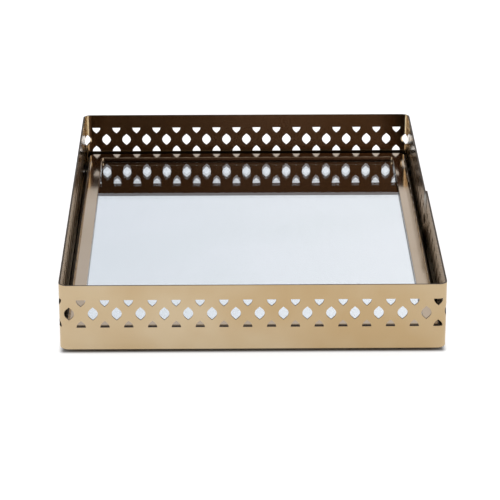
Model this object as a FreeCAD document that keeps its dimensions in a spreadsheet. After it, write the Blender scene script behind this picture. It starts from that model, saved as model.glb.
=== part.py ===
"""Dresser vanity tray: pierced metal gallery round a framed mirror base. Millimetres, +Z up, +Y to the back.

The origin is on the floor under the middle of the tray. Each piece is written to parts/NAME.step.
"""

import FreeCAD, Part
import math
import os
import Sketcher

# Driving sizes, in millimetres.
DRIVING = [
    # whole tray
    ("tray_width", 256.0),
    ("tray_depth", 344.0),
    ("standing_gap", 2.2),  # floor to the underside of the gallery
    # gallery: one strip bent round, lapped on the right-hand side
    ("wall_height", 46.0),
    ("wall_sheet", 1.2),
    ("corner_radius", 6.0),
    ("foot_bend_radius", 1.0),
    ("flange_width", 16.0),
    ("flange_mitre_gap", 1.0),
    ("relief_radius", 1.2),
    ("relief_drop", 0.4),
    # piercing
    ("pitches_across", 16),
    ("lens_width", 6.6),
    ("lens_height", 9.4),
    ("half_lens_width", 6.2),
    ("half_lens_height", 4.85),
    ("lens_tip_angle", 96.0),  # degrees between the two straight flanks of a tip
    ("lens_level", 25.95),  # centre of the lens row above the underside of the gallery
    ("row_spacing", 9.85),  # lens centres to the flat edges of the half lenses
    ("seam_web", 1.5),  # metal left between the two lenses nearest the seam
    ("seam_inner_margin", 1.0),
    ("seam_outer_margin", 0.8),
    ("scarf_length", 6.0),  # taper ground on the inner strip end
    ("scarf_edge", 0.15),  # metal left at the thin end of the taper
    # base stack
    ("board_thickness", 8.0),
    ("board_edge_gap", 0.6),  # board and mirror edges to the inside of the bezel skirt
    ("board_corner_radius", 3.0),
    ("backing_thickness", 0.3),
    ("glass_thickness", 4.0),
    ("felt_thickness", 1.2),
    ("felt_edge_gap", 1.0),
    ("felt_corner_radius", 3.0),
    # bezel
    ("bezel_sheet", 0.8),
    ("bezel_gap", 2.4),  # groove between the gallery and the bezel
    ("bezel_width", 11.0),
    ("bezel_rise", 2.1),  # top of the bezel above the glass
    ("bezel_corner_radius", 4.5),
    ("bezel_shoulder_radius", 3.0),
    ("bezel_lip_radius", 0.6),
    ("window_corner_radius", 1.5),
    ("skirt_gap", 0.2),  # foot of the skirt above the flange
    # feet
    ("foot_diameter", 14.0),
    ("foot_inset", 13.0),  # foot centres in from the felt edges
    ("foot_edge_radius", 0.5),
    # screws through the flange into the board
    ("screw_diameter", 3.0),
    ("screw_length", 7.0),
    ("screw_head_diameter", 6.0),
    ("screw_head_height", 1.4),
    ("screw_hole_gap", 0.2),
    ("pilot_gap", 0.05),
    ("pilot_extra_depth", 0.4),
    ("screw_inset", 11.0),
    ("screw_slot_width", 0.7),
    ("screw_slot_length", 3.2),
    ("screw_slot_depth", 0.8),
]

# Sizes that follow from the driving ones.
DERIVED = [
    ("flange_top", "=standing_gap + wall_sheet"),
    ("board_top", "=flange_top + board_thickness"),
    ("backing_top", "=board_top + backing_thickness"),
    ("glass_top", "=backing_top + glass_thickness"),
    ("felt_bottom", "=flange_top - felt_thickness"),
    ("bezel_top", "=glass_top + bezel_rise"),
    ("skirt_foot", "=flange_top + skirt_gap"),
    ("skirt_height", "=bezel_top - skirt_foot"),
    ("cavity_height", "=skirt_height - bezel_sheet"),
    ("bezel_length_x", "=tray_width - 2 * (wall_sheet + bezel_gap)"),
    ("bezel_length_y", "=tray_depth - 2 * (wall_sheet + bezel_gap)"),
    ("cavity_length_x", "=bezel_length_x - 2 * bezel_sheet"),
    ("cavity_length_y", "=bezel_length_y - 2 * bezel_sheet"),
    ("cavity_corner_radius", "=bezel_corner_radius - bezel_sheet"),
    ("cavity_shoulder_radius", "=bezel_shoulder_radius - bezel_sheet"),
    ("window_length_x", "=bezel_length_x - 2 * bezel_width"),
    ("window_length_y", "=bezel_length_y - 2 * bezel_width"),
    ("lip_length_x", "=window_length_x + 2 * bezel_sheet"),
    ("lip_length_y", "=window_length_y + 2 * bezel_sheet"),
    ("lip_corner_radius", "=window_corner_radius + bezel_sheet"),
    ("board_length_x", "=cavity_length_x - 2 * board_edge_gap"),
    ("board_length_y", "=cavity_length_y - 2 * board_edge_gap"),
    ("felt_length_x", "=tray_width - 2 * (flange_width + felt_edge_gap)"),
    ("felt_length_y", "=tray_depth - 2 * (flange_width + felt_edge_gap)"),
    ("foot_height", "=felt_bottom"),
    ("foot_offset_x", "=felt_length_x / 2 - foot_inset"),
    ("foot_offset_y", "=felt_length_y / 2 - foot_inset"),
    ("pilot_diameter", "=screw_diameter + 2 * pilot_gap"),
    ("pilot_depth", "=screw_length - wall_sheet + pilot_extra_depth"),
    ("screw_side_x", "=tray_width / 2 - screw_inset"),
    ("screw_side_y", "=tray_depth / 4"),
    ("screw_end_x", "=tray_width / 4"),
    ("screw_end_y", "=tray_depth / 2 - screw_inset"),
]

doc = FreeCAD.newDocument("VanityTray")
Vector = FreeCAD.Vector


def fill_sheet():
    """Put every size in the spreadsheet under its own name and return the values."""
    sheet = doc.addObject("Spreadsheet::Sheet", "Sizes")
    for row, (name, content) in enumerate(DRIVING + DERIVED, start=1):
        sheet.set(f"A{row}", name)
        sheet.set(f"B{row}", str(content))
        sheet.setAlias(f"B{row}", name)
    doc.recompute()
    return {name: float(sheet.get(name)) for name, content in DRIVING + DERIVED}


size = fill_sheet()


# ---------------------------------------------------------------- sketch and feature helpers
def origin_plane(body, role):
    return next(feature for feature in body.Origin.OriginFeatures if feature.Role == role)


def add_sketch(body, name, level):
    """A sketch on the body's XY plane, lifted to the named level (or left on the plane for None)."""
    sketch = body.newObject("Sketcher::SketchObject", name)
    sketch.AttachmentSupport = (origin_plane(body, "XY_Plane"), [""])
    sketch.MapMode = "FlatFace"
    if level is not None:
        sketch.setExpression("AttachmentOffset.Base.z", f"Sizes.{level}")
    return sketch


def draw_rounded_rectangle(sketch, length_x, length_y, radius):
    """A centred rectangle with rounded corners, held by three named sizes."""
    x = size[length_x] / 2
    y = size[length_y] / 2
    r = size[radius]
    first = sketch.GeometryCount
    corners = [(x - r, r - y, -90), (x - r, y - r, 0), (r - x, y - r, 90), (r - x, r - y, 180)]
    lines = [
        (Vector(r - x, -y, 0), Vector(x - r, -y, 0)),
        (Vector(x, r - y, 0), Vector(x, y - r, 0)),
        (Vector(x - r, y, 0), Vector(r - x, y, 0)),
        (Vector(-x, y - r, 0), Vector(-x, r - y, 0)),
    ]
    for start, end in lines:
        sketch.addGeometry(Part.LineSegment(start, end), False)
    for centre_x, centre_y, angle in corners:
        circle = Part.Circle(Vector(centre_x, centre_y, 0), Vector(0, 0, 1), r)
        arc = Part.ArcOfCircle(circle, math.radians(angle), math.radians(angle + 90))
        sketch.addGeometry(arc, False)
    for side in range(4):
        line = first + side
        arc = first + 4 + side
        next_line = first + (side + 1) % 4
        sketch.addConstraint(Sketcher.Constraint("Tangent", line, 2, arc, 1))
        sketch.addConstraint(Sketcher.Constraint("Tangent", arc, 2, next_line, 1))
        direction = "Horizontal" if side % 2 == 0 else "Vertical"
        sketch.addConstraint(Sketcher.Constraint(direction, line))
        if side:
            sketch.addConstraint(Sketcher.Constraint("Equal", first + 4, arc))
    sketch.addConstraint(Sketcher.Constraint("Symmetric", first + 4, 3, first + 6, 3, -1, 1))
    named = [
        (Sketcher.Constraint("DistanceX", first + 3, 1, first + 1, 1, 2 * x), length_x),
        (Sketcher.Constraint("DistanceY", first, 1, first + 2, 1, 2 * y), length_y),
        (Sketcher.Constraint("Radius", first + 4, r), radius),
    ]
    for constraint, name in named:
        index = sketch.addConstraint(constraint)
        sketch.setExpression(f"Constraints[{index}]", f"Sizes.{name}")


def draw_circle(sketch, x, y, diameter):
    """A circle whose centre and diameter are named sizes; x and y are (sign, name) or None."""
    centre = Vector(
        x[0] * size[x[1]] if x else 0.0,
        y[0] * size[y[1]] if y else 0.0,
        0,
    )
    circle = sketch.addGeometry(Part.Circle(centre, Vector(0, 0, 1), size[diameter] / 2), False)
    index = sketch.addConstraint(Sketcher.Constraint("Diameter", circle, size[diameter]))
    sketch.setExpression(f"Constraints[{index}]", f"Sizes.{diameter}")
    for kind, place in (("DistanceX", x), ("DistanceY", y)):
        if place:
            value = place[0] * size[place[1]]
            index = sketch.addConstraint(Sketcher.Constraint(kind, -1, 1, circle, 3, value))
            sketch.setExpression(f"Constraints[{index}]", f"{place[0]} * Sizes.{place[1]}")


def pad(body, sketch, name, height):
    feature = body.newObject("PartDesign::Pad", name)
    feature.Profile = sketch
    feature.setExpression("Length", f"Sizes.{height}")
    return feature


def pocket(body, sketch, name, depth=None):
    """A pocket going up from its sketch: to a named depth, or through everything."""
    feature = body.newObject("PartDesign::Pocket", name)
    feature.Profile = sketch
    feature.Reversed = True
    if depth:
        feature.setExpression("Length", f"Sizes.{depth}")
    else:
        feature.Type = "ThroughAll"
    return feature


def round_edges(body, base, name, radius, wanted):
    """Round the edges of the base feature for which wanted(edge) holds."""
    doc.recompute()
    edges = [f"Edge{i}" for i, edge in enumerate(base.Shape.Edges, start=1) if wanted(edge)]
    feature = body.newObject("PartDesign::Fillet", name)
    feature.Base = (base, edges)
    feature.setExpression("Radius", f"Sizes.{radius}")
    return feature


def at_level(edge, level):
    return all(abs(vertex.Z - level) < 1e-4 for vertex in edge.Vertexes)


def plate(name, length_x, length_y, radius, bottom, thickness):
    """A flat rounded plate lying at a named level."""
    body = doc.addObject("PartDesign::Body", name)
    sketch = add_sketch(body, f"{name}_outline", bottom)
    draw_rounded_rectangle(sketch, length_x, length_y, radius)
    pad(body, sketch, f"{name}_pad", thickness)
    return body


# ---------------------------------------------------------------- gallery
def strip_path():
    """Straights and bends of the strip's middle line, anticlockwise from the middle of the back-right bend.

    Each entry is (length, place), where place(distance) gives x, y and the outward direction in radians.
    The right-hand wall behind the seam lies one sheet further in than the wall in front of it.
    """
    sheet = size["wall_sheet"]
    bend = size["corner_radius"] - sheet / 2
    left = -size["tray_width"] / 2 + sheet / 2
    right = size["tray_width"] / 2 - sheet / 2
    front = -size["tray_depth"] / 2 + sheet / 2
    back = size["tray_depth"] / 2 - sheet / 2

    def turn(centre_x, centre_y, start, end):
        length = bend * abs(end - start)

        def place(distance):
            angle = start + (end - start) * distance / length
            return centre_x + bend * math.cos(angle), centre_y + bend * math.sin(angle), angle

        return length, place

    def straight(x, y, step_x, step_y, length, outward):
        return length, lambda distance: (x + step_x * distance, y + step_y * distance, outward)

    quarter = math.pi / 2
    back_right = (right - sheet - bend, back - bend)
    back_left = (left + bend, back - bend)
    front_left = (left + bend, front + bend)
    front_right = (right - bend, front + bend)
    forward = [
        turn(*back_right, quarter / 2, quarter),
        straight(back_right[0], back, -1, 0, back_right[0] - back_left[0], quarter),
        turn(*back_left, quarter, 2 * quarter),
        straight(left, back_left[1], 0, -1, back_left[1] - front_left[1], 2 * quarter),
        turn(*front_left, 2 * quarter, 3 * quarter),
        straight(front_left[0], front, 1, 0, front_right[0] - front_left[0], 3 * quarter),
        turn(*front_right, 3 * quarter, 4 * quarter),
        straight(right, front_right[1], 0, 1, size["tray_depth"], 0.0),
    ]
    backward = [
        turn(*back_right, quarter / 2, 0.0),
        straight(right - sheet, back_right[1], 0, -1, size["tray_depth"], 0.0),
    ]
    return forward, backward


def place_on(path, distance):
    """The point at a distance along a list of straights and bends."""
    for length, place in path:
        if distance <= length:
            return place(distance)
        distance -= length
    raise ValueError("the distance runs past the end of the strip")


def pierced_places():
    """Places of the lens column and the half-lens column, and where the two strip ends lie.

    The piercing has one pitch all along the strip. A lens sits on the middle of the back-right bend,
    and a whole number of pitches reaches the middle of the back-left bend.
    """
    forward, backward = strip_path()
    eighth = forward[0][0]
    pitch = (2 * eighth + forward[1][0]) / size["pitches_across"]
    clear = size["lens_width"] + size["seam_web"]

    behind = [place_on(backward, pitch)]
    while behind[-1][1] - pitch > -pitch / 2:
        behind.append(place_on(backward, pitch * (len(behind) + 1)))
    seam_y = behind[-1][1]
    lenses = list(behind)
    halves = [place_on(backward, pitch * (k + 0.5)) for k in range(len(behind))]

    step = 0
    while True:
        x, y, outward = place_on(forward, pitch * step / 2)
        if x > 0 and outward == 0.0 and y > seam_y - clear:
            break
        (halves if step % 2 else lenses).append((x, y, outward))
        step += 1
    inner_end = seam_y - size["lens_width"] / 2 - size["seam_inner_margin"]
    outer_end = seam_y + size["lens_width"] / 2 + size["seam_outer_margin"]
    return lenses, halves, inner_end, outer_end


def outline(offset, strip_end, step=1.0, taper=0.0):
    """Closed outline of the strip at an offset in from its outer face, stepped at one strip end.

    The step takes up a fraction of the sheet at once, and a taper behind it takes up the rest.
    """
    sheet = size["wall_sheet"]
    r = size["corner_radius"] - offset
    x = size["tray_width"] / 2 - offset
    y = size["tray_depth"] / 2 - offset
    back_x = x - sheet
    step_x = x - step * sheet

    def bend(centre_x, centre_y, start):
        circle = Part.Circle(Vector(centre_x, centre_y, 0), Vector(0, 0, 1), r)
        return Part.ArcOfCircle(circle, math.radians(start), math.radians(start + 90)).toShape()

    def line(x1, y1, x2, y2):
        return Part.makeLine(Vector(x1, y1, 0), Vector(x2, y2, 0))

    edges = [line(x, strip_end, step_x, strip_end)]
    if taper > 0.0:
        edges.append(line(step_x, strip_end, back_x, strip_end + taper))
    return Part.Wire(edges + [
        line(back_x, strip_end + taper, back_x, y - r),
        bend(back_x - r, y - r, 0),
        line(back_x - r, y, r - x, y),
        bend(r - x, y - r, 90),
        line(-x, y - r, -x, r - y),
        bend(r - x, r - y, 180),
        line(r - x, -y, x - r, -y),
        bend(x - r, r - y, 270),
        line(x, r - y, x, strip_end),
    ])


def flange_plate(half_length, reach, turn_degrees, inset=0.0, low=-1.0, high=1.0):
    """One mitred flange along a wall, drawn for the front wall and turned round the tray.

    It starts where the rounded foot bend ends; inset moves it in with a wall that lies further in.
    low and high are the fractions of the half length at which the flange starts and stops.
    """
    sheet = size["wall_sheet"]
    width = size["flange_width"]
    end = half_length - size["corner_radius"]
    inner = half_length - width - size["flange_mitre_gap"]
    y = -reach + inset + size["foot_bend_radius"]
    start_outer = -end if low <= -1.0 else low * half_length
    start_inner = -inner if low <= -1.0 else low * half_length
    stop_outer = end if high >= 1.0 else high * half_length
    stop_inner = inner if high >= 1.0 else high * half_length
    points = [
        Vector(start_outer, y, 0),
        Vector(stop_outer, y, 0),
        Vector(stop_inner, -reach + width, 0),
        Vector(start_inner, -reach + width, 0),
    ]
    face = Part.Face(Part.makePolygon(points + points[:1]))
    solid = face.extrude(Vector(0, 0, sheet))
    solid.rotate(Vector(0, 0, 0), Vector(0, 0, 1), turn_degrees)
    return solid


def lens_tool(width, height, part):
    """A punch with a pointed lens outline, standing on the middle line of the wall and facing +X.

    Each side is an arc that runs into a straight flank at both tips. height is from middle to tip.
    part is "whole", or "lower" or "upper" for a lens cut off flat at its widest.
    """
    reach = 3 * size["wall_sheet"]
    slope = math.radians(size["lens_tip_angle"] / 2)
    half = width / 2
    radius = (height * math.sin(slope) - half * math.cos(slope)) / (1 - math.cos(slope))
    join_y = half - radius + radius * math.cos(slope)
    join_z = radius * math.sin(slope)

    def point(y, z):
        return Vector(-reach, y, z)

    def quarter(side, up):
        """Edges from the widest point of one side to one tip."""
        widest = point(side * half, 0)
        join = point(side * join_y, up * join_z)
        middle_y = half - radius + radius * math.cos(slope / 2)
        middle = point(side * middle_y, up * radius * math.sin(slope / 2))
        return [Part.Arc(widest, middle, join).toShape(), Part.makeLine(join, point(0, up * height))]

    ups = {"whole": (1, -1), "upper": (1,), "lower": (-1,)}[part]
    edges = [edge for side in (1, -1) for up in ups for edge in quarter(side, up)]
    if part != "whole":
        edges.append(Part.makeLine(point(half, 0), point(-half, 0)))
    return Part.Face(Part.Wire(Part.__sortEdges__(edges))).extrude(Vector(2 * reach, 0, 0))


def set_tool(tool, x, y, z, outward):
    copy = tool.copy()
    copy.rotate(Vector(0, 0, 0), Vector(0, 0, 1), math.degrees(outward))
    copy.translate(Vector(x, y, z))
    return copy


def screw_places():
    sides = [(sx * size["screw_side_x"], sy * size["screw_side_y"]) for sx in (-1, 1) for sy in (-1, 1)]
    ends = [(sx * size["screw_end_x"], sy * size["screw_end_y"]) for sx in (-1, 1) for sy in (-1, 1)]
    return sides + ends


def build_gallery_band():
    """The pierced strip with its turned-in foot flange, as drawn out flat and bent round the tray."""
    sheet = size["wall_sheet"]
    bottom = size["standing_gap"]
    half_x = size["tray_width"] / 2
    half_y = size["tray_depth"] / 2
    lenses, halves, inner_end, outer_end = pierced_places()

    outside = Part.Face(outline(0.0, outer_end))
    inside = Part.Face(outline(sheet, inner_end, step=size["scarf_edge"] / sheet, taper=size["scarf_length"]))
    section = outside.cut(inside)
    wall = section.extrude(Vector(0, 0, size["wall_height"])).Solids[0]
    outer_feet = [edge for edge in wall.Edges if at_level(edge, 0.0) and on_outer_face(edge, outer_end)]
    wall = wall.makeFillet(size["foot_bend_radius"], outer_feet)
    seam = inner_end / half_y
    flanges = [
        flange_plate(half_x, half_y, 0),
        flange_plate(half_x, half_y, 180),
        flange_plate(half_y, half_x, 270),
        flange_plate(half_y, half_x, 90, high=seam),
        flange_plate(half_y, half_x, 90, inset=sheet, low=seam),
    ]
    band = wall.multiFuse(flanges).removeSplitter()

    tools = []
    relief = Part.makeCylinder(size["relief_radius"], 6 * sheet, Vector(-3 * sheet, 0, 0), Vector(1, 0, 0))
    r = size["corner_radius"]
    bends = [
        (half_x - sheet - r, half_y - r, 45),
        (r - half_x, half_y - r, 135),
        (r - half_x, r - half_y, 225),
        (half_x - r, r - half_y, 315),
    ]
    for centre_x, centre_y, degrees in bends:
        angle = math.radians(degrees)
        x = centre_x + (r - sheet / 2) * math.cos(angle)
        y = centre_y + (r - sheet / 2) * math.sin(angle)
        tools.append(set_tool(relief, x, y, -size["relief_drop"], angle))

    lens = lens_tool(size["lens_width"], size["lens_height"] / 2, "whole")
    lower = lens_tool(size["half_lens_width"], size["half_lens_height"], "lower")
    upper = lens_tool(size["half_lens_width"], size["half_lens_height"], "upper")
    level = size["lens_level"]
    for x, y, outward in lenses:
        tools.append(set_tool(lens, x, y, level, outward))
    for x, y, outward in halves:
        tools.append(set_tool(lower, x, y, level + size["row_spacing"], outward))
        tools.append(set_tool(upper, x, y, level - size["row_spacing"], outward))

    hole_radius = size["screw_diameter"] / 2 + size["screw_hole_gap"]
    for x, y in screw_places():
        tools.append(Part.makeCylinder(hole_radius, 4 * sheet, Vector(x, y, -sheet)))
    band = band.cut(tools)
    band.translate(Vector(0, 0, bottom))
    return add_solid("gallery_band", band.Solids[0])


def on_outer_face(edge, outer_end):
    """Whether an edge lies along the strip's outer face, which steps in behind the outer strip end."""
    sheet = size["wall_sheet"]
    half_x = size["tray_width"] / 2
    half_y = size["tray_depth"] / 2
    r = size["corner_radius"]
    box = edge.BoundBox
    on_left = box.XMax < -half_x + 1e-4
    right_x = half_x - sheet if box.YMin > outer_end - 1e-4 else half_x
    on_right = box.XMin > right_x - 1e-4
    on_front = box.YMax < -half_y + 1e-4
    on_back = box.YMin > half_y - 1e-4
    on_bend = edge.Curve.TypeId == "Part::GeomCircle" and abs(edge.Curve.Radius - r) < 1e-4
    return on_left or on_right or on_front or on_back or on_bend


def add_solid(name, shape):
    feature = doc.addObject("Part::Feature", name)
    feature.Shape = shape
    return feature


# ---------------------------------------------------------------- bezel, mirror and base
def build_bezel_frame():
    """Pressed frame: rounded shoulder, skirt round the board and a lip turned down on the glass."""
    body = doc.addObject("PartDesign::Body", "bezel_frame")
    top = size["bezel_top"]

    outline_sketch = add_sketch(body, "bezel_outline", "skirt_foot")
    draw_rounded_rectangle(outline_sketch, "bezel_length_x", "bezel_length_y", "bezel_corner_radius")
    pad(body, outline_sketch, "bezel_block", "skirt_height")

    cavity_sketch = add_sketch(body, "cavity_outline", "skirt_foot")
    draw_rounded_rectangle(cavity_sketch, "cavity_length_x", "cavity_length_y", "cavity_corner_radius")
    cavity = pocket(body, cavity_sketch, "bezel_cavity", "cavity_height")
    ceiling = top - size["bezel_sheet"]

    def at_ceiling(edge):
        return at_level(edge, ceiling)

    def at_top(edge):
        return at_level(edge, top)

    hollow = round_edges(body, cavity, "cavity_shoulder", "cavity_shoulder_radius", at_ceiling)
    round_edges(body, hollow, "bezel_shoulder", "bezel_shoulder_radius", at_top)

    lip_sketch = add_sketch(body, "lip_outline", "glass_top")
    draw_rounded_rectangle(lip_sketch, "lip_length_x", "lip_length_y", "lip_corner_radius")
    pad(body, lip_sketch, "bezel_lip", "bezel_rise")

    window_sketch = add_sketch(body, "window_outline", None)
    draw_rounded_rectangle(window_sketch, "window_length_x", "window_length_y", "window_corner_radius")
    window = pocket(body, window_sketch, "bezel_window")
    reach_x = size["window_length_x"] / 2 + 1e-3
    reach_y = size["window_length_y"] / 2 + 1e-3

    def round_window(edge):
        box = edge.BoundBox
        inside = box.XMax < reach_x and box.XMin > -reach_x and box.YMax < reach_y and box.YMin > -reach_y
        return at_level(edge, top) and inside

    round_edges(body, window, "bezel_lip_edge", "bezel_lip_radius", round_window)
    return body


board_outline = ("board_length_x", "board_length_y", "board_corner_radius")


def build_base_board():
    """Board under the mirror, with pilot holes for the flange screws."""
    body = plate("base_board", *board_outline, "flange_top", "board_thickness")
    pilots = add_sketch(body, "pilot_holes", "flange_top")
    for along_x, along_y in (("screw_side_x", "screw_side_y"), ("screw_end_x", "screw_end_y")):
        for sign_x in (-1, 1):
            for sign_y in (-1, 1):
                draw_circle(pilots, (sign_x, along_x), (sign_y, along_y), "pilot_diameter")
    pocket(body, pilots, "pilots", "pilot_depth")
    return body


felt_outline = ("felt_length_x", "felt_length_y", "felt_corner_radius")


def build_foot(name, sign_x, sign_y):
    """Round pad foot stuck to the felt, with a softened lower edge."""
    body = doc.addObject("PartDesign::Body", name)
    sketch = add_sketch(body, f"{name}_outline", None)
    draw_circle(sketch, (sign_x, "foot_offset_x"), (sign_y, "foot_offset_y"), "foot_diameter")
    disc = pad(body, sketch, f"{name}_pad", "foot_height")
    round_edges(body, disc, f"{name}_edge", "foot_edge_radius", lambda edge: at_level(edge, 0.0))
    return body


def build_flange_screws():
    """Pan-head cross-slotted screws, heads under the flange and shanks in the board."""
    seat = size["standing_gap"]
    head = size["screw_head_height"]
    shank = Part.makeCylinder(size["screw_diameter"] / 2, size["screw_length"], Vector(0, 0, seat))
    cap = Part.makeCylinder(size["screw_head_diameter"] / 2, head, Vector(0, 0, seat - head))
    under = [edge for edge in cap.Edges if at_level(edge, seat - head)]
    rim = [edge for edge in under if edge.Curve.TypeId == "Part::GeomCircle"]
    cap = cap.makeFillet(head / 2, rim)
    length = size["screw_slot_length"]
    width = size["screw_slot_width"]
    depth = size["screw_slot_depth"]
    slots = [
        Part.makeBox(length, width, depth, Vector(-length / 2, -width / 2, seat - head)),
        Part.makeBox(width, length, depth, Vector(-width / 2, -length / 2, seat - head)),
    ]
    screw = cap.fuse(shank).removeSplitter().cut(slots)
    screws = [set_tool(screw, x, y, 0.0, 0.0) for x, y in screw_places()]
    return add_solid("flange_screws", Part.makeCompound(screws))


# ---------------------------------------------------------------- build, check and write
pieces = [
    build_gallery_band(),
    build_bezel_frame(),
    plate("mirror_glass", *board_outline, "backing_top", "glass_thickness"),
    plate("mirror_backing", *board_outline, "board_top", "backing_thickness"),
    build_base_board(),
    plate("felt_underlay", *felt_outline, "felt_bottom", "felt_thickness"),
    build_foot("foot_front_left", -1, -1),
    build_foot("foot_front_right", 1, -1),
    build_foot("foot_back_left", -1, 1),
    build_foot("foot_back_right", 1, 1),
    build_flange_screws(),
]
doc.recompute()

for item in doc.Objects:
    if "Invalid" in item.State or "Error" in item.State:
        raise RuntimeError(f"{item.Label} did not compute: {item.State}")
os.makedirs("parts", exist_ok=True)
for piece in pieces:
    if piece.Shape.isNull() or not piece.Shape.isValid():
        raise RuntimeError(f"{piece.Label} has no valid shape")
    piece.Shape.exportStep(f"parts/{piece.Label}.step")
    box = piece.Shape.BoundBox
    print(
        f"{piece.Label}: {len(piece.Shape.Solids)} solid(s), volume {piece.Shape.Volume:.1f} mm3, "
        f"x {box.XMin:.2f}..{box.XMax:.2f}, y {box.YMin:.2f}..{box.YMax:.2f}, "
        f"z {box.ZMin:.2f}..{box.ZMax:.2f}"
    )
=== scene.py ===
import math

import bmesh
import bpy
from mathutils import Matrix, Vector, noise


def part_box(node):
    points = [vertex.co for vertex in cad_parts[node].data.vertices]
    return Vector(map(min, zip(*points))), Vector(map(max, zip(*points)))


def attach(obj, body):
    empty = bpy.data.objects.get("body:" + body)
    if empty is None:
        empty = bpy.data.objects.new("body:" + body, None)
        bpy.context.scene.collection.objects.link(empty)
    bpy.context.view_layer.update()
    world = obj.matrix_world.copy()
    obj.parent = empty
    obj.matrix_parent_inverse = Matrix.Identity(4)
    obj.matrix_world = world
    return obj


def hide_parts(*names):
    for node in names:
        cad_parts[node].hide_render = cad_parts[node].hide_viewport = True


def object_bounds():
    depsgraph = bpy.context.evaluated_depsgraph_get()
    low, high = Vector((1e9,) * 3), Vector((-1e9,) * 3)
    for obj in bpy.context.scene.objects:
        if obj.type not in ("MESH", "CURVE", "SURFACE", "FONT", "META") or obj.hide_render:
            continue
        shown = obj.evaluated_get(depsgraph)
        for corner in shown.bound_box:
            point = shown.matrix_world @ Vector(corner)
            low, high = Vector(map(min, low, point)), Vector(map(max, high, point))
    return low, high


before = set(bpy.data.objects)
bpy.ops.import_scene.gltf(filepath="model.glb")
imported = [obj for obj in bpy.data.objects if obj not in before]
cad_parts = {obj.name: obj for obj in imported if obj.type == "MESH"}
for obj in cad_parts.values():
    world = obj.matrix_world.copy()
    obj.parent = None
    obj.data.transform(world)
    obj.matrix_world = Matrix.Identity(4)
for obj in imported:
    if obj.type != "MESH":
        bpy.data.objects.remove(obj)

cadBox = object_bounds()
mm = 0.001


# small helpers

def linearColour(hexText):
    # sRGB hex to the linear values the shader sockets take
    channels = [int(hexText[i:i + 2], 16) / 255 for i in (1, 3, 5)]
    linear = [c / 12.92 if c <= 0.04045 else ((c + 0.055) / 1.055) ** 2.4 for c in channels]
    return (*linear, 1)


def greyLight(strength):
    return (strength, strength, strength, 1)


def addNode(tree, kind, inputs=None, output=0, **settings):
    # one node with its settings, each input set or linked; gives back the output asked for
    made = tree.nodes.new(kind)
    for name, value in settings.items():
        setattr(made, name, value)
    for name, item in (inputs or {}).items():
        if isinstance(item, bpy.types.NodeSocket):
            tree.links.new(item, made.inputs[name])
        else:
            made.inputs[name].default_value = item
    return made.outputs[output]


def fadeInto(tree, first, second, reading, limits, interpolation="LINEAR"):
    # one colour turns into another while a reading rises from one limit to the other
    share = addNode(
        tree, "ShaderNodeMapRange", {"Value": reading, "From Min": limits[0], "From Max": limits[1]},
        "Result", interpolation_type=interpolation,
    )
    inputs = {"Factor": share, "A": first, "B": second}
    return addNode(tree, "ShaderNodeMix", inputs, "Result", data_type="RGBA")


def beyondBox(tree, place, reachX, reachY):
    # how far a place lies outside an upright box round the middle
    spread = addNode(tree, "ShaderNodeVectorMath", {0: place}, operation="ABSOLUTE")
    past = addNode(tree, "ShaderNodeVectorMath", {0: spread, 1: (reachX, reachY, 1)}, operation="SUBTRACT")
    return addNode(tree, "ShaderNodeVectorMath", {0: past, 1: (0, 0, 0)}, operation="MAXIMUM")


def newMaterial(name, **values):
    # a material with its Principled shader, and where patterns read their place from
    material = bpy.data.materials.new(name)
    material.use_nodes = True
    tree = material.node_tree
    shader = tree.nodes["Principled BSDF"]
    for socket, value in values.items():
        shader.inputs[socket.replace("_", " ")].default_value = value
    place = addNode(tree, "ShaderNodeTexCoord", output="Object")
    return material, tree, shader, place


def grainedMaterial(name, tones, grainMm, detail, distortion=0.0, reliefMm=0.0, relief=1.0, **values):
    # a material that runs between two tones over a grain of real size, in relief where it has any
    material, tree, shader, place = newMaterial(name, **values)
    pattern = {"Vector": place, "Scale": 1 / (grainMm * mm), "Detail": detail, "Distortion": distortion}
    grain = addNode(tree, "ShaderNodeTexNoise", pattern, "Fac")
    first, second = (linearColour(tone) for tone in tones)
    colour = fadeInto(tree, first, second, grain, (0, 1))
    tree.links.new(colour, shader.inputs["Base Color"])
    if reliefMm:
        raised = {"Height": grain, "Strength": relief, "Distance": reliefMm * mm}
        bump = addNode(tree, "ShaderNodeBump", raised, "Normal")
        tree.links.new(bump, shader.inputs["Normal"])
    return material, tree, shader, place, grain, colour


def dress(nodeNames, material):
    for name in nodeNames:
        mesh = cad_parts[name].data
        mesh.materials.clear()
        mesh.materials.append(material)


def boxCorners(name):
    # low and high corners of a CAD node
    return [Vector(corner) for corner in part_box(name)]


def newObject(name, mesh):
    # a bmesh made into an object in the scene
    data = bpy.data.meshes.new(name)
    mesh.to_mesh(data)
    mesh.free()
    made = bpy.data.objects.new(name, data)
    bpy.context.collection.objects.link(made)
    return made


def dropNewPoints(extruded, height):
    # the points that an extrusion made, moved to the height that a function gives
    for item in extruded["geom"]:
        if isinstance(item, bmesh.types.BMVert):
            item.co.z = height(item.co)


def addPiece(name, mesh, material, node):
    # a piece that stands for a CAD node
    bmesh.ops.recalc_face_normals(mesh, faces=mesh.faces)
    piece = newObject(name, mesh)
    piece.data.materials.append(material)
    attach(piece, "root")
    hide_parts(node)
    return piece


# camera

cameraView = {
    "lensMm": 179.6,
    "sensorMm": 36,
    "distance": 1.757,
    "azimuthDeg": 0.70,
    "elevationDeg": 22.07,
    "aimForward": -0.0511,  # from the middle of the tray
    "aimSide": -0.0005,
}


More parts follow.
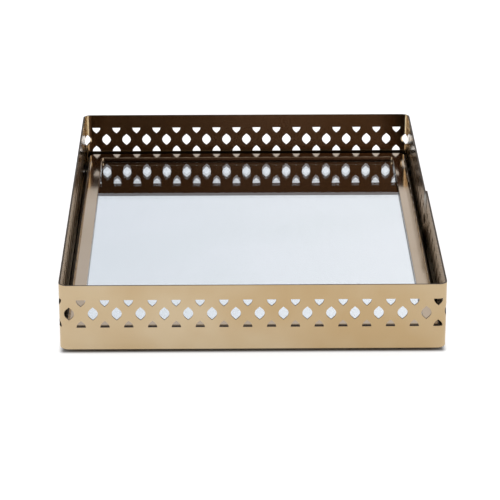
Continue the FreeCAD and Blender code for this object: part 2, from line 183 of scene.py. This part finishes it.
def addCamera(view):
    low, high = (Vector(corner) for corner in cadBox)
    aim = (low + high) / 2 + Vector((view["aimSide"], view["aimForward"], 0))
    azimuth = math.radians(view["azimuthDeg"])
    elevation = math.radians(view["elevationDeg"])
    away = Vector((
        -math.sin(azimuth) * math.cos(elevation),
        -math.cos(azimuth) * math.cos(elevation),
        math.sin(elevation),
    ))
    data = bpy.data.cameras.new("camera")
    data.lens = view["lensMm"]
    data.sensor_width = view["sensorMm"]
    camera = bpy.data.objects.new("camera", data)
    camera.location = aim + away * view["distance"]
    camera.rotation_euler = (math.pi / 2 - elevation, 0, -azimuth)
    bpy.context.collection.objects.link(camera)
    bpy.context.scene.camera = camera


addCamera(cameraView)
print("camera set")


# plated metal of the gallery

galleryLook = {
    "gold": "#C2AE8F",
    "goldWarm": "#B79D76",
    "patchMm": 70,
    "patchLimits": (0.35, 0.65),  # levels of the pattern where the two golds are pure
    "bendMm": 6.0,  # outside radius of the corner bends
    "cutEdge": "#4A3B2B",  # sheared and punched edges
    "edgeFacing": 0.5,  # an edge's normal points through the wall by less than this share
    "plainFacing": 0.9,  # and a plain face's by more than this
    "edgesAboveMm": 5.0,  # clear of the foot bend
    "innerFacing": 0.1,  # faces that look outward are above this
    # painted shade for the dark groove between the bezel and the wall
    "groove": "#241810",
    "grooveLevelMm": 9.0,  # middle of the fade to the painted shade low on the inner face
    "grooveFadeMm": 2.5,  # to each side of that level
    "flangeTopMm": 1.3,  # just above the flange, from its underside
    "rollLineMm": 0.9,
    "rollStretch": 8,  # per metre along the strip
    "rollDepthMm": 0.002,
    "waveMm": 16,
    "waveDepthMm": 0.007,
    "roughLow": 0.13,
    "roughHigh": 0.19,
    "grooveRougher": 0.6,  # added in the groove, and half of it on cut edges
}


def outwardFromWall(tree, place, look):
    # the level direction out through the wall, round the corner bends too
    high = boxCorners("gallery_band")[1]
    bend = look["bendMm"] * mm
    beyond = beyondBox(tree, place, high.x - bend, high.y - bend)
    reach = addNode(tree, "ShaderNodeVectorMath", {0: beyond}, operation="NORMALIZE")
    side = addNode(tree, "ShaderNodeVectorMath", {0: place}, operation="SIGN")
    return addNode(tree, "ShaderNodeVectorMath", {0: reach, 1: side}, operation="MULTIPLY")


def galleryMasks(tree, height, facing, look):
    # three shares from 0 to 1: cut edge, painted shade low in the groove, and plain wall face
    low = boxCorners("gallery_band")[0]
    through = addNode(tree, "ShaderNodeMath", {0: facing}, operation="ABSOLUTE")
    bendTop = look["edgesAboveMm"] * mm
    aboveBend = addNode(tree, "ShaderNodeMath", {0: height, 1: bendTop}, operation="GREATER_THAN")
    sheared = addNode(tree, "ShaderNodeMath", {0: through, 1: look["edgeFacing"]}, operation="LESS_THAN")
    edge = addNode(tree, "ShaderNodeMath", {0: sheared, 1: aboveBend}, operation="MULTIPLY")
    flat = addNode(tree, "ShaderNodeMath", {0: through, 1: look["plainFacing"]}, operation="GREATER_THAN")
    plain = addNode(tree, "ShaderNodeMath", {0: flat, 1: aboveBend}, operation="MULTIPLY")

    flangeTop = low.z + look["flangeTopMm"] * mm
    aboveFlange = addNode(tree, "ShaderNodeMath", {0: height, 1: flangeTop}, operation="GREATER_THAN")
    inner = addNode(tree, "ShaderNodeMath", {0: facing, 1: look["innerFacing"]}, operation="LESS_THAN")
    inward = addNode(tree, "ShaderNodeMath", {0: inner, 1: aboveFlange}, operation="MULTIPLY")
    fadeTop = (look["grooveLevelMm"] + look["grooveFadeMm"]) * mm
    fadeFoot = (look["grooveLevelMm"] - look["grooveFadeMm"]) * mm
    fade = {"Value": height, "From Min": fadeTop, "From Max": fadeFoot}
    depth = addNode(tree, "ShaderNodeMapRange", fade, "Result")
    paintedShade = addNode(tree, "ShaderNodeMath", {0: inward, 1: depth}, operation="MULTIPLY")
    return edge, paintedShade, plain


def galleryRelief(tree, place, wallNormal, look):
    # slightly wavy between the holes, under faint rolling lines
    waves = {"Vector": place, "Scale": 1 / (look["waveMm"] * mm), "Detail": 1.0}
    wave = addNode(tree, "ShaderNodeTexNoise", waves, "Fac")
    swelling = {"Height": wave, "Normal": wallNormal, "Strength": 1.0, "Distance": look["waveDepthMm"] * mm}
    swell = addNode(tree, "ShaderNodeBump", swelling, "Normal")
    # real rolling lines are about 0.05 mm apart, drawn coarser so that they show
    stretch = (look["rollStretch"], look["rollStretch"], 1 / (look["rollLineMm"] * mm))
    stretched = addNode(tree, "ShaderNodeMapping", {"Vector": place, "Scale": stretch})
    lines = addNode(tree, "ShaderNodeTexNoise", {"Vector": stretched, "Scale": 1.0, "Detail": 2.0}, "Fac")
    rolling = {"Height": lines, "Normal": swell, "Strength": 0.4, "Distance": look["rollDepthMm"] * mm}
    return addNode(tree, "ShaderNodeBump", rolling, "Normal")


def polishedRoughness(tree, patches, look):
    # roughness that drifts with the patches of the plating
    drift = {
        "Value": patches, "From Min": 0.3, "From Max": 0.7,
        "To Min": look["roughLow"], "To Max": look["roughHigh"],
    }
    return addNode(tree, "ShaderNodeMapRange", drift, "Result")


def makeGalleryMetal(look):
    # pale gold plating on cold-rolled steel strip: a soft mirror, painted duller and darker low on the
    # inner face as shade in the groove
    material, tree, shader, place = newMaterial("paleGoldPlatedStrip")
    faceNormal = addNode(tree, "ShaderNodeNewGeometry", output="True Normal")
    height = addNode(tree, "ShaderNodeSeparateXYZ", {"Vector": place}, "Z")
    outward = outwardFromWall(tree, place, look)
    # 1 on a face that looks out, -1 on one that looks in, 0 on an edge
    compared = {0: outward, 1: faceNormal}
    facing = addNode(tree, "ShaderNodeVectorMath", compared, "Value", operation="DOT_PRODUCT")
    edge, paintedShade, plain = galleryMasks(tree, height, facing, look)

    gold, goldWarm, cutEdge, groove = (
        linearColour(look[name]) for name in ("gold", "goldWarm", "cutEdge", "groove")
    )
    pattern = {"Vector": place, "Scale": 1 / (look["patchMm"] * mm), "Detail": 3.0}
    patches = addNode(tree, "ShaderNodeTexNoise", pattern, "Fac")
    plated = fadeInto(tree, gold, goldWarm, patches, look["patchLimits"])
    withEdges = fadeInto(tree, plated, cutEdge, edge, (0, 1))
    # painted shade darkens the inner face low down, where it meets the groove
    colour = fadeInto(tree, withEdges, groove, paintedShade, (0, 1))

    polish = polishedRoughness(tree, patches, look)
    halfEdge = addNode(tree, "ShaderNodeMath", {0: edge, 1: 0.5}, operation="MULTIPLY")
    paintedShadeOrCutEdge = addNode(tree, "ShaderNodeMath", {0: paintedShade, 1: halfEdge}, operation="MAXIMUM")
    roughening = {0: paintedShadeOrCutEdge, 1: look["grooveRougher"], 2: polish}
    rough = addNode(tree, "ShaderNodeMath", roughening, operation="MULTIPLY_ADD")
    metal = addNode(tree, "ShaderNodeMath", {0: 1.0, 1: paintedShade}, operation="SUBTRACT")

    # the brazed lap is linished flush, so its taper takes the wall's own normal
    inOrOut = addNode(tree, "ShaderNodeMath", {0: facing}, operation="SIGN")
    square = addNode(tree, "ShaderNodeVectorMath", {"Vector": outward, "Scale": inOrOut}, operation="SCALE")
    choice = {"Factor": plain, "A": faceNormal, "B": square}
    wallNormal = addNode(tree, "ShaderNodeMix", choice, "Result", data_type="VECTOR")
    tree.links.new(colour, shader.inputs["Base Color"])
    tree.links.new(metal, shader.inputs["Metallic"])
    tree.links.new(rough, shader.inputs["Roughness"])
    tree.links.new(galleryRelief(tree, place, wallNormal, look), shader.inputs["Normal"])
    return material


dress(["gallery_band"], makeGalleryMetal(galleryLook))


# plated metal of the bezel

bezelLook = {
    "gold": "#BCA891",
    "goldWarm": "#B49E81",
    "patchMm": 45,
    # painted shade for the groove, the same as on the gallery
    "groove": "#241810",
    "shoulderMm": 3.5,  # the width of the outer shoulder, which dips into the groove
    "shoulderTurn": (0.91, 0.79),  # upward part of the normal, where the painted shade starts and is full
    "roughLow": 0.09,
    "roughHigh": 0.14,
    "grooveRougher": 0.4,
}


def makeBezelMetal(look):
    # the same plating over a pressed, buffed sheet: brighter, and it mirrors what stands next to it
    material, tree, shader, place, patches, gold = grainedMaterial(
        "paleGoldBuffedSheet", (look["gold"], look["goldWarm"]), look["patchMm"], 4.0
    )
    polish = polishedRoughness(tree, patches, look)
    # painted shade where the outer shoulder dips into the groove
    high = boxCorners("bezel_frame")[1]
    shoulder = look["shoulderMm"] * mm
    beyond = beyondBox(tree, place, high.x - shoulder, high.y - shoulder)
    reach = addNode(tree, "ShaderNodeVectorMath", {0: beyond}, "Value", operation="LENGTH")
    onShoulder = addNode(tree, "ShaderNodeMath", {0: reach, 1: 0.0}, operation="GREATER_THAN")
    normal = addNode(tree, "ShaderNodeNewGeometry", output="Normal")
    upward = addNode(tree, "ShaderNodeSeparateXYZ", {"Vector": normal}, "Z")
    start, full = look["shoulderTurn"]
    turning = {"Value": upward, "From Min": start, "From Max": full}
    steep = addNode(tree, "ShaderNodeMapRange", turning, "Result")
    paintedShade = addNode(tree, "ShaderNodeMath", {0: onShoulder, 1: steep}, operation="MULTIPLY")

    # painted shade on the shoulder where it dips into the groove
    colour = fadeInto(tree, gold, linearColour(look["groove"]), paintedShade, (0, 1))
    metal = addNode(tree, "ShaderNodeMath", {0: 1.0, 1: paintedShade}, operation="SUBTRACT")
    roughening = {0: paintedShade, 1: look["grooveRougher"], 2: polish}
    rough = addNode(tree, "ShaderNodeMath", roughening, operation="MULTIPLY_ADD")
    tree.links.new(colour, shader.inputs["Base Color"])
    tree.links.new(metal, shader.inputs["Metallic"])
    tree.links.new(rough, shader.inputs["Roughness"])
    return material


dress(["bezel_frame"], makeBezelMetal(bezelLook))
print("metals done")


# mirror: clear glass over silver

mirrorLook = {
    "glassTint": "#FAFCFB",
    "glassClear": "#FFFFFF",
    "hazeMm": 71.4,
    "silver": "#F5F6F6",
    "silverBright": "#F8F9FA",
    "cloudMm": 111,
    "cornerMm": 3.0,
    "cornerSteps": 8,
    "clearMm": 0.02,  # keeps the silver's face apart from the glass face above it
}


def makeFloatGlass(look):
    # 4 mm float glass: clear and a little green, it mirrors the rim once in its face and once in the silver
    tones = (look["glassTint"], look["glassClear"])
    return grainedMaterial(
        "floatGlass", tones, look["hazeMm"], 4.0, Roughness=0.0, IOR=1.52, Transmission_Weight=1.0
    )[0]


def makeSilvering(look):
    # silver laid on the back of the glass: close to a perfect mirror
    tones = (look["silver"], look["silverBright"])
    return grainedMaterial("mirrorSilvering", tones, look["cloudMm"], 3.0, Metallic=1.0, Roughness=0.0)[0]


def makeSilverPlate(look):
    # the coat on the back of the glass, as a thin plate with rounded corners
    low, high = boxCorners("mirror_backing")
    high.z -= look["clearMm"] * mm
    middle = (low + high) / 2
    half = (high - low) / 2
    corner = look["cornerMm"] * mm
    mesh = bmesh.new()
    outline = []
    for turn, (signX, signY) in enumerate(((1, 1), (-1, 1), (-1, -1), (1, -1))):
        for step in range(look["cornerSteps"] + 1):
            angle = math.radians(90 * (turn + step / look["cornerSteps"]))
            x = middle.x + signX * (half.x - corner) + corner * math.cos(angle)
            y = middle.y + signY * (half.y - corner) + corner * math.sin(angle)
            outline.append(mesh.verts.new((x, y, high.z)))
    top = mesh.faces.new(outline)
    dropNewPoints(bmesh.ops.extrude_face_region(mesh, geom=[top]), lambda point: low.z)
    return mesh


dress(["mirror_glass"], makeFloatGlass(mirrorLook))
silverPlate = makeSilverPlate(mirrorLook)
addPiece("silverCoat", silverPlate, makeSilvering(mirrorLook), "mirror_backing")
print("mirror done")


# hidden base

baseLook = {
    "board": "#8F6B45",
    "boardDark": "#6E4F31",
    "fibreMm": 1.2,
    "fibreDepthMm": 0.1,
    "rubber": "#1B1B1C",
    "rubberWorn": "#2A2A2B",
    "rubberGrainMm": 0.4,
    "rubberDepthMm": 0.05,
    "zinc": "#C9C8C2",
    "zincBright": "#DAD9D4",
    "turnMarkMm": 0.3,
    "zincRoughLow": 0.22,
    "zincRoughHigh": 0.42,
}


def makeBoard(look):
    # medium-density fibreboard, sawn and left raw: brown, matt, short tangled fibres
    return grainedMaterial(
        "rawFibreboard", (look["boardDark"], look["board"]), look["fibreMm"], 6.0, distortion=1.5,
        reliefMm=look["fibreDepthMm"], relief=0.5, Roughness=0.85,
    )[0]


def makeRubber(look):
    # moulded rubber with a fine spark-eroded grain: black, no clear highlight
    return grainedMaterial(
        "blackMouldedRubber", (look["rubber"], look["rubberWorn"]), look["rubberGrainMm"], 2.0,
        reliefMm=look["rubberDepthMm"], relief=0.6, Roughness=0.7,
    )[0]


def makeZinc(look):
    # bright zinc plating on a headed screw: grey metal with soft turning marks
    tones = (look["zinc"], look["zincBright"])
    material, tree, shader, _, marks, _ = grainedMaterial(
        "brightZincPlating", tones, look["turnMarkMm"], 3.0, Metallic=1.0
    )
    limits = {"Value": marks, "To Min": look["zincRoughLow"], "To Max": look["zincRoughHigh"]}
    rough = addNode(tree, "ShaderNodeMapRange", limits, "Result")
    tree.links.new(rough, shader.inputs["Roughness"])
    return material


dress(["base_board"], makeBoard(baseLook))
dress([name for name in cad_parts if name.startswith("foot_")], makeRubber(baseLook))
dress(["flange_screws"], makeZinc(baseLook))
print("base done")


# felt under the board

feltLook = {
    "felt": "#1D1D20",
    "feltLight": "#303035",
    "fibreMm": 0.8,
    "fibreDepthMm": 0.15,
    "cellMm": 3.0,
    "cornerMm": 3.0,
    "unevenMm": 0.15,
    "unevenSpanMm": 12,
}


def makeFeltMesh(look):
    # a cut sheet with rounded corners, flat against the board and a little uneven below
    low, high = boxCorners("felt_underlay")
    size = high - low
    middle = (low + high) / 2
    corner = look["cornerMm"] * mm
    cells = [round(length / (look["cellMm"] * mm)) for length in size.xy]
    mesh = bmesh.new()
    bmesh.ops.create_grid(mesh, x_segments=cells[0], y_segments=cells[1], size=0.5)
    for vertex in mesh.verts:
        x = vertex.co.x * size.x
        y = vertex.co.y * size.y
        overX = abs(x) - (size.x / 2 - corner)
        overY = abs(y) - (size.y / 2 - corner)
        reach = math.hypot(overX, overY)
        if overX > 0 and overY > 0 and reach > corner:
            x -= math.copysign(overX * (1 - corner / reach), x)
            y -= math.copysign(overY * (1 - corner / reach), y)
        vertex.co = Vector((x + middle.x, y + middle.y, high.z))

    def uneven(point):
        rise = 0.5 + 0.5 * noise.noise(point / (look["unevenSpanMm"] * mm))
        return low.z + look["unevenMm"] * mm * rise

    dropNewPoints(bmesh.ops.extrude_face_region(mesh, geom=list(mesh.faces)), uneven)
    return mesh


def makeFelt(look):
    # needled wool felt: matt, dark, a tangle of short fibres with a little sheen
    return grainedMaterial(
        "needledFelt", (look["felt"], look["feltLight"]), look["fibreMm"], 5.0, distortion=2.5,
        reliefMm=look["fibreDepthMm"], relief=0.8, Roughness=0.95, Sheen_Weight=0.25, Sheen_Roughness=0.6,
    )[0]


felt = addPiece("feltSheet", makeFeltMesh(feltLook), makeFelt(feltLook), "felt_underlay")
print("felt done")


# studio floor

floorLook = {
    "floor": "#B9B9B9",
    "glow": 0.85,
    "size": 12.0,
    "paintedShadowInsetMm": 3,
    "paintedShadowShiftMm": 4,  # back, so that the lit floor doesn't show through the corner reliefs
    "paintedShadowFadeMm": 5,
}


def makeFloor(look):
    # opal acrylic, lit from below; its glow is cut off under the tray with a soft edge, a painted shadow
    material, tree, shader, place = newMaterial("opalAcrylic", Roughness=0.9)
    shader.inputs["Base Color"].default_value = linearColour(look["floor"])
    shader.inputs["Emission Color"].default_value = linearColour("#FFFFFF")
    shift = (0, look["paintedShadowShiftMm"] * mm, 0)
    shifted = addNode(tree, "ShaderNodeVectorMath", {0: place, 1: shift}, operation="SUBTRACT")
    reachX = cadBox[1][0] - look["paintedShadowInsetMm"] * mm
    reachY = cadBox[1][1] + (look["paintedShadowShiftMm"] - look["paintedShadowInsetMm"]) * mm
    beyond = beyondBox(tree, shifted, reachX, reachY)
    away = addNode(tree, "ShaderNodeVectorMath", {0: beyond}, "Value", operation="LENGTH")
    # no glow under the tray and a soft fade at its edge: a painted shadow round the tray's foot
    edge = {"Value": away, "From Max": look["paintedShadowFadeMm"] * mm, "To Max": look["glow"]}
    glow = addNode(tree, "ShaderNodeMapRange", edge, "Result", interpolation_type="SMOOTHSTEP")
    tree.links.new(glow, shader.inputs["Emission Strength"])
    return material


def addFloor(look):
    mesh = bmesh.new()
    bmesh.ops.create_grid(mesh, x_segments=1, y_segments=1, size=look["size"] / 2)
    floor = newObject("floor", mesh)
    floor.location.z = cadBox[0][2]
    floor.data.materials.append(makeFloor(look))


# studio light

# each turn is a range of one part of the direction looked in: x is right, y is back and z is up
lightLook = {
    "backLeft": "#E6EBF4",
    "backRight": "#F6F9FF",
    "backTurnX": (-0.09, 0.09),
    "darkSide": "#140D0A",
    "warmSide": "#7F6355",
    "frontTurnX": (-0.035, 0.0),
    "highDark": 0.18,  # how much of the warm side is left above the height of a standing camera
    "highTurnZ": (0.326, 0.346),
    "backTurnY": (-0.1, 0.25),
    "sideBox": 1.6,
    "sideTurnX": (0.6, 0.8),
    "topDark": 0.03,
    "topTurnZ": (0.8, 0.93),
    "crownBright": 0.75,
    "crownTurnZ": (0.95, 0.99),
    "keyWatts": 0.4,
    "keySize": 1.4,
    "keyHeight": 1.7,
}


def addSurroundings(look):
    # a light backdrop behind, soft boxes at the sides, darkness in front, and a soft light overhead
    world = bpy.data.worlds.new("studio")
    bpy.context.scene.world = world
    world.use_nodes = True
    tree = world.node_tree
    direction = addNode(tree, "ShaderNodeTexCoord", output="Generated")
    x, y, z = addNode(tree, "ShaderNodeSeparateXYZ", {"Vector": direction}).node.outputs
    sideways = addNode(tree, "ShaderNodeMath", {0: x}, operation="ABSOLUTE")
    warm = linearColour(look["warmSide"])
    dimmed = (*(look["highDark"] * channel for channel in warm[:3]), 1)

    backLeft = linearColour(look["backLeft"])
    backRight = linearColour(look["backRight"])
    behind = fadeInto(tree, backLeft, backRight, x, look["backTurnX"], "SMOOTHSTEP")
    light = linearColour(look["darkSide"])
    for colour, reading, limits in (
        (warm, x, look["frontTurnX"]),
        (dimmed, z, look["highTurnZ"]),
        (behind, y, look["backTurnY"]),
        (greyLight(look["sideBox"]), sideways, look["sideTurnX"]),
        (greyLight(look["topDark"]), z, look["topTurnZ"]),
        (greyLight(look["crownBright"]), z, look["crownTurnZ"]),
    ):
        light = fadeInto(tree, light, colour, reading, limits, "SMOOTHSTEP")
    tree.links.new(light, tree.nodes["Background"].inputs["Color"])


def addKeyLight(look):
    data = bpy.data.lights.new("keyLight", "AREA")
    data.shape = "SQUARE"
    data.size = look["keySize"]
    data.energy = look["keyWatts"]
    key = bpy.data.objects.new("keyLight", data)
    key.location = (0, 0, look["keyHeight"])
    bpy.context.collection.objects.link(key)


addFloor(floorLook)
addSurroundings(lightLook)
addKeyLight(lightLook)
bpy.context.scene.view_settings.view_transform = "Standard"
print("studio done")
